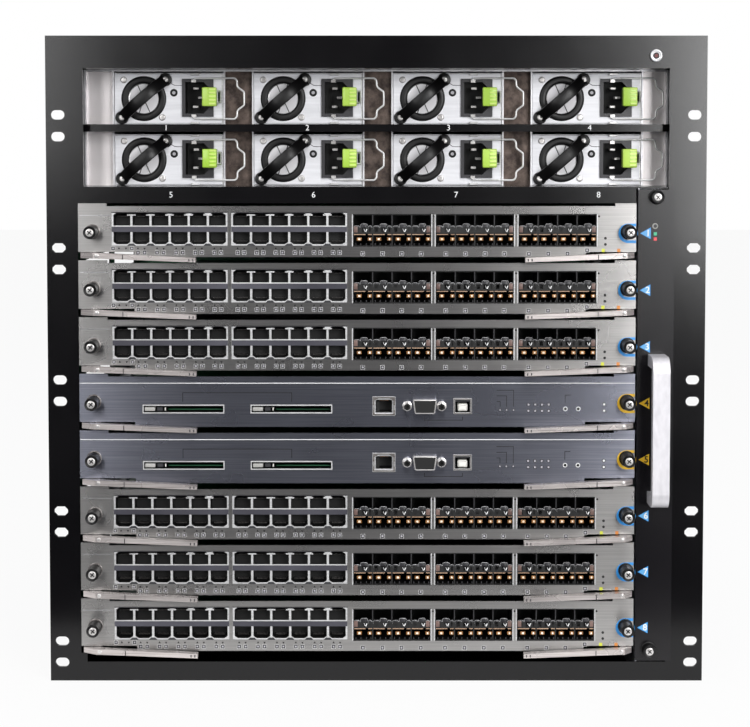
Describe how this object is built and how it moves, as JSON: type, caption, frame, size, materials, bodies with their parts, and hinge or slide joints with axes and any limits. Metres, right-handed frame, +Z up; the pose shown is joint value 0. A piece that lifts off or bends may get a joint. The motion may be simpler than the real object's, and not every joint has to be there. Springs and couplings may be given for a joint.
{
  "type": "modular chassis switch",
  "caption": "Rack chassis with sliding line cards and ejector levers, latched power supplies with cord bails, and a handled fan tray beside the cards.",
  "frame": {"origin": "middle of the base's front edge, on the plane of the front flanges", "axes": "x to the right seen from the front, y to the back, z up"},
  "size_m": [0.4826, 0.4625, 0.476],
  "materials": {
    "case_black": "satin black powder coat",
    "cage_zinc": "zinc-plated sheet",
    "guide_zinc": "zinc-plated sheet",
    "board_green": "coated circuit board",
    "tray_black": "satin black powder coat",
    "handle_satin": "satin",
    "plate_nickel": "brushed nickel plate",
    "plate_slate": "blue-grey metallic",
    "lever_steel": "polished steel",
    "supply_zinc": "zinc-plated sheet",
    "latch_green": "ribbed lime green",
    "wire_steel": "bright wire"
  },
  "bodies": {
    "chassis": {"chassis_case": "case_black", "top_cover": "case_black", "rear_cover": "case_black", "rack_ear_left": "case_black", "rack_ear_right": "case_black", "header_panel": "case_black", "power_shelf": "case_black", "power_cage": "cage_zinc", "midplane": "board_green", "card_guides": "guide_zinc"},
    "fan_tray": {"fan_tray": "tray_black", "fan_tray_handle": "handle_satin"},
    "card_1": {"line_card_1": "plate_nickel"},
    "lever_left_1": {"ejector_left_1": "lever_steel"},
    "lever_right_1": {"ejector_right_1": "lever_steel"},
    "card_2": {"line_card_2": "plate_nickel"},
    "lever_left_2": {"ejector_left_2": "lever_steel"},
    "lever_right_2": {"ejector_right_2": "lever_steel"},
    "card_3": {"line_card_3": "plate_nickel"},
    "lever_left_3": {"ejector_left_3": "lever_steel"},
    "lever_right_3": {"ejector_right_3": "lever_steel"},
    "card_4": {"management_card_4": "plate_slate"},
    "lever_left_4": {"ejector_left_4": "lever_steel"},
    "lever_right_4": {"ejector_right_4": "lever_steel"},
    "card_5": {"management_card_5": "plate_slate"},
    "lever_left_5": {"ejector_left_5": "lever_steel"},
    "lever_right_5": {"ejector_right_5": "lever_steel"},
    "card_6": {"line_card_6": "plate_nickel"},
    "lever_left_6": {"ejector_left_6": "lever_steel"},
    "lever_right_6": {"ejector_right_6": "lever_steel"},
    "card_7": {"line_card_7": "plate_nickel"},
    "lever_left_7": {"ejector_left_7": "lever_steel"},
    "lever_right_7": {"ejector_right_7": "lever_steel"},
    "card_8": {"line_card_8": "plate_nickel"},
    "lever_left_8": {"ejector_left_8": "lever_steel"},
    "lever_right_8": {"ejector_right_8": "lever_steel"},
    "supply_1": {"power_supply_1": "supply_zinc"},
    "latch_1": {"supply_latch_1": "latch_green"},
    "bail_1": {"cord_bail_1": "wire_steel"},
    "supply_2": {"power_supply_2": "supply_zinc"},
    "latch_2": {"supply_latch_2": "latch_green"},
    "bail_2": {"cord_bail_2": "wire_steel"},
    "supply_3": {"power_supply_3": "supply_zinc"},
    "latch_3": {"supply_latch_3": "latch_green"},
    "bail_3": {"cord_bail_3": "wire_steel"},
    "supply_4": {"power_supply_4": "supply_zinc"},
    "latch_4": {"supply_latch_4": "latch_green"},
    "bail_4": {"cord_bail_4": "wire_steel"},
    "supply_5": {"power_supply_5": "supply_zinc"},
    "latch_5": {"supply_latch_5": "latch_green"},
    "bail_5": {"cord_bail_5": "wire_steel"},
    "supply_6": {"power_supply_6": "supply_zinc"},
    "latch_6": {"supply_latch_6": "latch_green"},
    "bail_6": {"cord_bail_6": "wire_steel"},
    "supply_7": {"power_supply_7": "supply_zinc"},
    "latch_7": {"supply_latch_7": "latch_green"},
    "bail_7": {"cord_bail_7": "wire_steel"},
    "supply_8": {"power_supply_8": "supply_zinc"},
    "latch_8": {"supply_latch_8": "latch_green"},
    "bail_8": {"cord_bail_8": "wire_steel"}
  },
  "joints": [
    {"name": "fan_tray_slide", "type": "slide", "parent": "chassis", "child": "fan_tray", "axis": [0, -1, 0], "range_m": [0, 0.36]},
    {"name": "card_1_slide", "type": "slide", "parent": "chassis", "child": "card_1", "axis": [0, -1, 0], "range_m": [0, 0.37]},
    {"name": "lever_left_1_pivot", "type": "hinge", "parent": "card_1", "child": "lever_left_1", "pos_m": [-0.2065, 0, 0.316], "axis": [0, 0, -1], "range_deg": [0, 60]},
    {"name": "lever_right_1_pivot", "type": "hinge", "parent": "card_1", "child": "lever_right_1", "pos_m": [0.1835, 0, 0.316], "axis": [0, 0, 1], "range_deg": [0, 60]},
    {"name": "card_2_slide", "type": "slide", "parent": "chassis", "child": "card_2", "axis": [0, -1, 0], "range_m": [0, 0.37]},
    {"name": "lever_left_2_pivot", "type": "hinge", "parent": "card_2", "child": "lever_left_2", "pos_m": [-0.2065, 0, 0.2743], "axis": [0, 0, -1], "range_deg": [0, 60]},
    {"name": "lever_right_2_pivot", "type": "hinge", "parent": "card_2", "child": "lever_right_2", "pos_m": [0.1835, 0, 0.2743], "axis": [0, 0, 1], "range_deg": [0, 60]},
    {"name": "card_3_slide", "type": "slide", "parent": "chassis", "child": "card_3", "axis": [0, -1, 0], "range_m": [0, 0.37]},
    {"name": "lever_left_3_pivot", "type": "hinge", "parent": "card_3", "child": "lever_left_3", "pos_m": [-0.2065, 0, 0.2326], "axis": [0, 0, -1], "range_deg": [0, 60]},
    {"name": "lever_right_3_pivot", "type": "hinge", "parent": "card_3", "child": "lever_right_3", "pos_m": [0.1835, 0, 0.2326], "axis": [0, 0, 1], "range_deg": [0, 60]},
    {"name": "card_4_slide", "type": "slide", "parent": "chassis", "child": "card_4", "axis": [0, -1, 0], "range_m": [0, 0.37]},
    {"name": "lever_left_4_pivot", "type": "hinge", "parent": "card_4", "child": "lever_left_4", "pos_m": [-0.2065, 0, 0.1909], "axis": [0, 0, -1], "range_deg": [0, 60]},
    {"name": "lever_right_4_pivot", "type": "hinge", "parent": "card_4", "child": "lever_right_4", "pos_m": [0.1835, 0, 0.1909], "axis": [0, 0, 1], "range_deg": [0, 60]},
    {"name": "card_5_slide", "type": "slide", "parent": "chassis", "child": "card_5", "axis": [0, -1, 0], "range_m": [0, 0.37]},
    {"name": "lever_left_5_pivot", "type": "hinge", "parent": "card_5", "child": "lever_left_5", "pos_m": [-0.2065, 0, 0.1492], "axis": [0, 0, -1], "range_deg": [0, 60]},
    {"name": "lever_right_5_pivot", "type": "hinge", "parent": "card_5", "child": "lever_right_5", "pos_m": [0.1835, 0, 0.1492], "axis": [0, 0, 1], "range_deg": [0, 60]},
    {"name": "card_6_slide", "type": "slide", "parent": "chassis", "child": "card_6", "axis": [0, -1, 0], "range_m": [0, 0.37]},
    {"name": "lever_left_6_pivot", "type": "hinge", "parent": "card_6", "child": "lever_left_6", "pos_m": [-0.2065, 0, 0.1075], "axis": [0, 0, -1], "range_deg": [0, 60]},
    {"name": "lever_right_6_pivot", "type": "hinge", "parent": "card_6", "child": "lever_right_6", "pos_m": [0.1835, 0, 0.1075], "axis": [0, 0, 1], "range_deg": [0, 60]},
    {"name": "card_7_slide", "type": "slide", "parent": "chassis", "child": "card_7", "axis": [0, -1, 0], "range_m": [0, 0.37]},
    {"name": "lever_left_7_pivot", "type": "hinge", "parent": "card_7", "child": "lever_left_7", "pos_m": [-0.2065, 0, 0.0658], "axis": [0, 0, -1], "range_deg": [0, 60]},
    {"name": "lever_right_7_pivot", "type": "hinge", "parent": "card_7", "child": "lever_right_7", "pos_m": [0.1835, 0, 0.0658], "axis": [0, 0, 1], "range_deg": [0, 60]},
    {"name": "card_8_slide", "type": "slide", "parent": "chassis", "child": "card_8", "axis": [0, -1, 0], "range_m": [0, 0.37]},
    {"name": "lever_left_8_pivot", "type": "hinge", "parent": "card_8", "child": "lever_left_8", "pos_m": [-0.2065, 0, 0.0241], "axis": [0, 0, -1], "range_deg": [0, 60]},
    {"name": "lever_right_8_pivot", "type": "hinge", "parent": "card_8", "child": "lever_right_8", "pos_m": [0.1835, 0, 0.0241], "axis": [0, 0, 1], "range_deg": [0, 60]},
    {"name": "supply_1_slide", "type": "slide", "parent": "chassis", "child": "supply_1", "axis": [0, -1, 0], "range_m": [0, 0.32]},
    {"name": "latch_1_slide", "type": "slide", "parent": "supply_1", "child": "latch_1", "axis": [-1, 0, 0], "range_m": [0, 0.0025], "stiffness_N_per_m": 800, "springref_m": -0.002},
    {"name": "bail_1_pivot", "type": "hinge", "parent": "supply_1", "child": "bail_1", "pos_m": [-0.1362, 0.0374, 0.431], "axis": [0, 0, -1], "range_deg": [0, 140]},
    {"name": "supply_2_slide", "type": "slide", "parent": "chassis", "child": "supply_2", "axis": [0, -1, 0], "range_m": [0, 0.32]},
    {"name": "latch_2_slide", "type": "slide", "parent": "supply_2", "child": "latch_2", "axis": [-1, 0, 0], "range_m": [0, 0.0025], "stiffness_N_per_m": 800, "springref_m": -0.002},
    {"name": "bail_2_pivot", "type": "hinge", "parent": "supply_2", "child": "bail_2", "pos_m": [-0.032, 0.0374, 0.431], "axis": [0, 0, -1], "range_deg": [0, 140]},
    {"name": "supply_3_slide", "type": "slide", "parent": "chassis", "child": "supply_3", "axis": [0, -1, 0], "range_m": [0, 0.32]},
    {"name": "latch_3_slide", "type": "slide", "parent": "supply_3", "child": "latch_3", "axis": [-1, 0, 0], "range_m": [0, 0.0025], "stiffness_N_per_m": 800, "springref_m": -0.002},
    {"name": "bail_3_pivot", "type": "hinge", "parent": "supply_3", "child": "bail_3", "pos_m": [0.0722, 0.0374, 0.431], "axis": [0, 0, -1], "range_deg": [0, 140]},
    {"name": "supply_4_slide", "type": "slide", "parent": "chassis", "child": "supply_4", "axis": [0, -1, 0], "range_m": [0, 0.32]},
    {"name": "latch_4_slide", "type": "slide", "parent": "supply_4", "child": "latch_4", "axis": [-1, 0, 0], "range_m": [0, 0.0025], "stiffness_N_per_m": 800, "springref_m": -0.002},
    {"name": "bail_4_pivot", "type": "hinge", "parent": "supply_4", "child": "bail_4", "pos_m": [0.1764, 0.0374, 0.431], "axis": [0, 0, -1], "range_deg": [0, 140]},
    {"name": "supply_5_slide", "type": "slide", "parent": "chassis", "child": "supply_5", "axis": [0, -1, 0], "range_m": [0, 0.32]},
    {"name": "latch_5_slide", "type": "slide", "parent": "supply_5", "child": "latch_5", "axis": [-1, 0, 0], "range_m": [0, 0.0025], "stiffness_N_per_m": 800, "springref_m": -0.002},
    {"name": "bail_5_pivot", "type": "hinge", "parent": "supply_5", "child": "bail_5", "pos_m": [-0.1362, 0.0374, 0.3853], "axis": [0, 0, -1], "range_deg": [0, 140]},
    {"name": "supply_6_slide", "type": "slide", "parent": "chassis", "child": "supply_6", "axis": [0, -1, 0], "range_m": [0, 0.32]},
    {"name": "latch_6_slide", "type": "slide", "parent": "supply_6", "child": "latch_6", "axis": [-1, 0, 0], "range_m": [0, 0.0025], "stiffness_N_per_m": 800, "springref_m": -0.002},
    {"name": "bail_6_pivot", "type": "hinge", "parent": "supply_6", "child": "bail_6", "pos_m": [-0.032, 0.0374, 0.3853], "axis": [0, 0, -1], "range_deg": [0, 140]},
    {"name": "supply_7_slide", "type": "slide", "parent": "chassis", "child": "supply_7", "axis": [0, -1, 0], "range_m": [0, 0.32]},
    {"name": "latch_7_slide", "type": "slide", "parent": "supply_7", "child": "latch_7", "axis": [-1, 0, 0], "range_m": [0, 0.0025], "stiffness_N_per_m": 800, "springref_m": -0.002},
    {"name": "bail_7_pivot", "type": "hinge", "parent": "supply_7", "child": "bail_7", "pos_m": [0.0722, 0.0374, 0.3853], "axis": [0, 0, -1], "range_deg": [0, 140]},
    {"name": "supply_8_slide", "type": "slide", "parent": "chassis", "child": "supply_8", "axis": [0, -1, 0], "range_m": [0, 0.32]},
    {"name": "latch_8_slide", "type": "slide", "parent": "supply_8", "child": "latch_8", "axis": [-1, 0, 0], "range_m": [0, 0.0025], "stiffness_N_per_m": 800, "springref_m": -0.002},
    {"name": "bail_8_pivot", "type": "hinge", "parent": "supply_8", "child": "bail_8", "pos_m": [0.1764, 0.0374, 0.3853], "axis": [0, 0, -1], "range_deg": [0, 140]}
  ]
}
